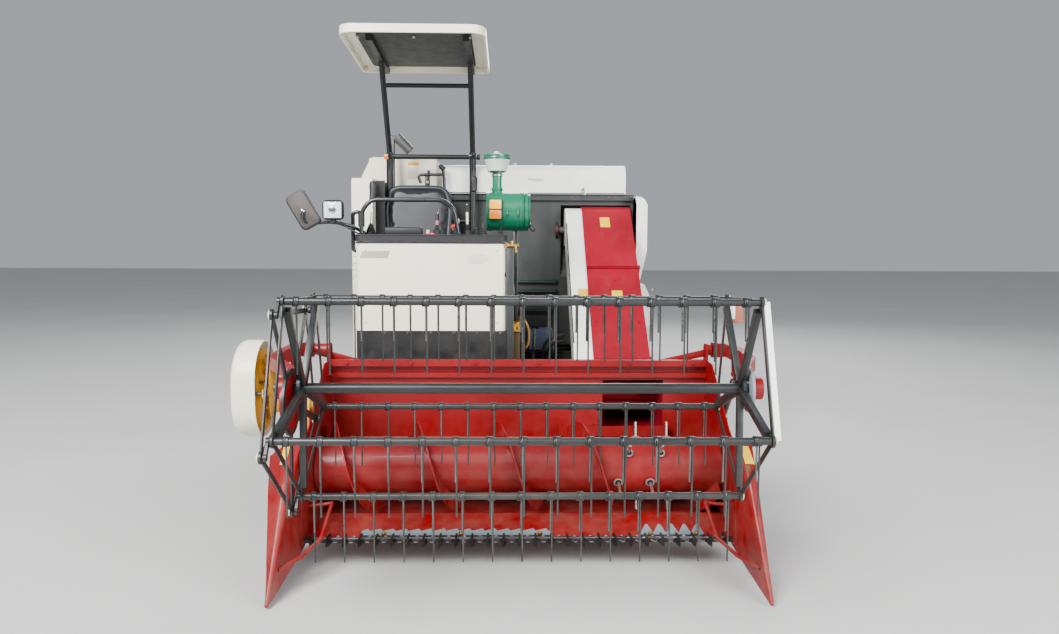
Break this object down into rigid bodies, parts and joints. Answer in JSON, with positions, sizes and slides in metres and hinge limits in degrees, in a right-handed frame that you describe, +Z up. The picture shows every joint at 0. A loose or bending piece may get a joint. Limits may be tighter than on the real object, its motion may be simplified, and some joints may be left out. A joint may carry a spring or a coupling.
{
  "type": "rubber-tracked rice combine harvester",
  "caption": "Tracked full-feed rice combine: lifting header with an eccentric pick-up reel, knife and auger, feeder house, transverse thresher, grain tank, open station with canopy.",
  "frame": {"origin": "middle of the machine's box on the ground", "axes": "+Z up, the machine faces -Y, +X is the machine's left side"},
  "size_m": [2.55, 5.0157, 2.84],
  "materials": {
    "frame_black": "satin",
    "track_rubber": "matte",
    "wheel_steel": "satin",
    "cream_paint": "gloss",
    "white_paint": "gloss",
    "console_plastic": "matte",
    "seat_vinyl": "satin",
    "seat_steel": "satin",
    "cleaner_green": "gloss",
    "exhaust_steel": "satin",
    "tank_grey": "satin",
    "thresher_grey": "satin",
    "pulley_steel": "satin",
    "red_paint": "gloss",
    "drive_yellow": "satin",
    "reel_steel": "satin",
    "knife_steel": "satin",
    "rod_chrome": "polished"
  },
  "bodies": {
    "chassis": {"chassis_frame": "frame_black", "track_wheels": "wheel_steel", "track_left": "track_rubber", "track_right": "track_rubber", "transmission": "wheel_steel", "engine_block": "wheel_steel", "engine_cover": "frame_black", "operator_floor": "frame_black", "front_panel": "cream_paint", "console": "console_plastic", "seat_frame": "seat_steel", "seat_cushion": "seat_vinyl", "seat_back": "seat_vinyl", "canopy_frame": "frame_black", "canopy_roof": "cream_paint", "canopy_liner": "console_plastic", "handrails": "frame_black", "control_levers": "console_plastic", "lamp_mirror": "frame_black", "air_cleaner": "cleaner_green", "exhaust_pipe": "exhaust_steel", "intake_box": "cream_paint", "step_plates": "frame_black", "oil_tank": "tank_grey", "thresher_body": "thresher_grey", "thresher_drive": "pulley_steel", "side_cover": "white_paint", "straw_hood": "white_paint", "grain_tank": "cream_paint", "unload_tube": "exhaust_steel"},
    "lid": {"thresher_lid": "white_paint"},
    "door": {"side_door": "white_paint"},
    "tank_lid": {"tank_lid": "cream_paint"},
    "boom": {"unload_boom": "exhaust_steel"},
    "header": {"feeder_house": "red_paint", "feeder_cover": "white_paint", "header_frame": "red_paint", "header_dividers": "red_paint", "header_drive": "drive_yellow", "drive_guard": "cream_paint", "knife_guards": "reel_steel"},
    "knife": {"knife": "knife_steel"},
    "auger": {"crop_auger": "red_paint"},
    "reel_arms": {"reel_arms": "red_paint"},
    "reel": {"reel_frame": "reel_steel"},
    "ring": {"reel_ring": "reel_steel"},
    "tines_1": {"tine_bar_1": "reel_steel"},
    "tines_2": {"tine_bar_2": "reel_steel"},
    "tines_3": {"tine_bar_3": "reel_steel"},
    "tines_4": {"tine_bar_4": "reel_steel"},
    "tines_5": {"tine_bar_5": "reel_steel"},
    "lift_barrel": {"lift_barrel": "frame_black"},
    "lift_rod": {"lift_rod": "rod_chrome"},
    "reel_lift_barrel": {"reel_lift_barrels": "frame_black"},
    "reel_lift_rod": {"reel_lift_rods": "rod_chrome"}
  },
  "joints": [
    {"name": "header_lift", "type": "hinge", "parent": "chassis", "child": "header", "pos_m": [0, 0.715, 1.64], "axis": [-1, 0, 0], "range_deg": [0, 15]},
    {"name": "knife_stroke", "type": "slide", "parent": "header", "child": "knife", "axis": [1, 0, 0], "range_m": [-0.038, 0.038]},
    {"name": "auger_spin", "type": "hinge", "parent": "header", "child": "auger", "pos_m": [0, -1.163, 0.4], "axis": [1, 0, 0], "continuous": true},
    {"name": "reel_lift", "type": "hinge", "parent": "header", "child": "reel_arms", "pos_m": [0, -0.796, 0.96], "axis": [-1, 0, 0], "range_deg": [0, 18]},
    {"name": "reel_spin", "type": "hinge", "parent": "reel_arms", "child": "reel", "pos_m": [0, -2.011, 0.954], "axis": [1, 0, 0], "continuous": true},
    {"name": "ring_spin", "type": "hinge", "parent": "reel_arms", "child": "ring", "pos_m": [0, -2.051, 0.904], "axis": [1, 0, 0], "continuous": true},
    {"name": "tine_turn_1", "type": "hinge", "parent": "reel", "child": "tines_1", "pos_m": [0, -1.72901, 1.30725], "axis": [1, 0, 0], "continuous": true},
    {"name": "tine_turn_2", "type": "hinge", "parent": "reel", "child": "tines_2", "pos_m": [0, -2.25982, 1.33135], "axis": [1, 0, 0], "continuous": true},
    {"name": "tine_turn_3", "type": "hinge", "parent": "reel", "child": "tines_3", "pos_m": [0, -2.44677, 0.83397], "axis": [1, 0, 0], "continuous": true},
    {"name": "tine_turn_4", "type": "hinge", "parent": "reel", "child": "tines_4", "pos_m": [0, -2.0315, 0.50247], "axis": [1, 0, 0], "continuous": true},
    {"name": "tine_turn_5", "type": "hinge", "parent": "reel", "child": "tines_5", "pos_m": [0, -1.5879, 0.79497], "axis": [1, 0, 0], "continuous": true},
    {"name": "lift_barrel_turn", "type": "hinge", "parent": "chassis", "child": "lift_barrel", "pos_m": [0.25, 0.3, 0.24], "axis": [-1, 0, 0], "range_deg": [-0.2, 13.8]},
    {"name": "lift_rod_slide", "type": "slide", "parent": "lift_barrel", "child": "lift_rod", "axis": [0, -0.9669, 0.2552], "range_m": [-0.002, 0.383]},
    {"name": "reel_barrel_turn", "type": "hinge", "parent": "header", "child": "reel_lift_barrel", "pos_m": [0, -0.96, 0.6], "axis": [-1, 0, 0], "range_deg": [-0.2, 11.6]},
    {"name": "reel_rod_slide", "type": "slide", "parent": "reel_lift_barrel", "child": "reel_lift_rod", "axis": [0, -0.6998, 0.7143], "range_m": [-0.002, 0.114]},
    {"name": "lid_open", "type": "hinge", "parent": "chassis", "child": "lid", "pos_m": [0, 1.345, 1.9096], "axis": [-1, 0, 0], "range_deg": [0, 55]},
    {"name": "door_open", "type": "hinge", "parent": "chassis", "child": "door", "pos_m": [1.042, 1.775, 1.57], "axis": [0, 0, 1], "range_deg": [0, 100]},
    {"name": "tank_lid_open", "type": "hinge", "parent": "chassis", "child": "tank_lid", "pos_m": [-0.7585, 1.715, 2.152], "axis": [-1, 0, 0], "range_deg": [0, 75]},
    {"name": "boom_swing", "type": "hinge", "parent": "chassis", "child": "boom", "pos_m": [-0.86, 1.93, 2], "axis": [0, 0, 1], "range_deg": [0, 180]}
  ],
  "couplings": [
    {"joint": "ring_spin", "follows": "reel_spin", "ratio": 1},
    {"joint": "tine_turn_1", "follows": "reel_spin", "ratio": -1},
    {"joint": "tine_turn_2", "follows": "reel_spin", "ratio": -1},
    {"joint": "tine_turn_3", "follows": "reel_spin", "ratio": -1},
    {"joint": "tine_turn_4", "follows": "reel_spin", "ratio": -1},
    {"joint": "tine_turn_5", "follows": "reel_spin", "ratio": -1},
    {"joint": "lift_barrel_turn", "follows": "header_lift", "ratio": 0.9048},
    {"joint": "lift_rod_slide", "follows": "header_lift", "m_per_rad": 1.4549},
    {"joint": "reel_barrel_turn", "follows": "reel_lift", "ratio": 0.6298},
    {"joint": "reel_rod_slide", "follows": "reel_lift", "m_per_rad": 0.3568}
  ]
}
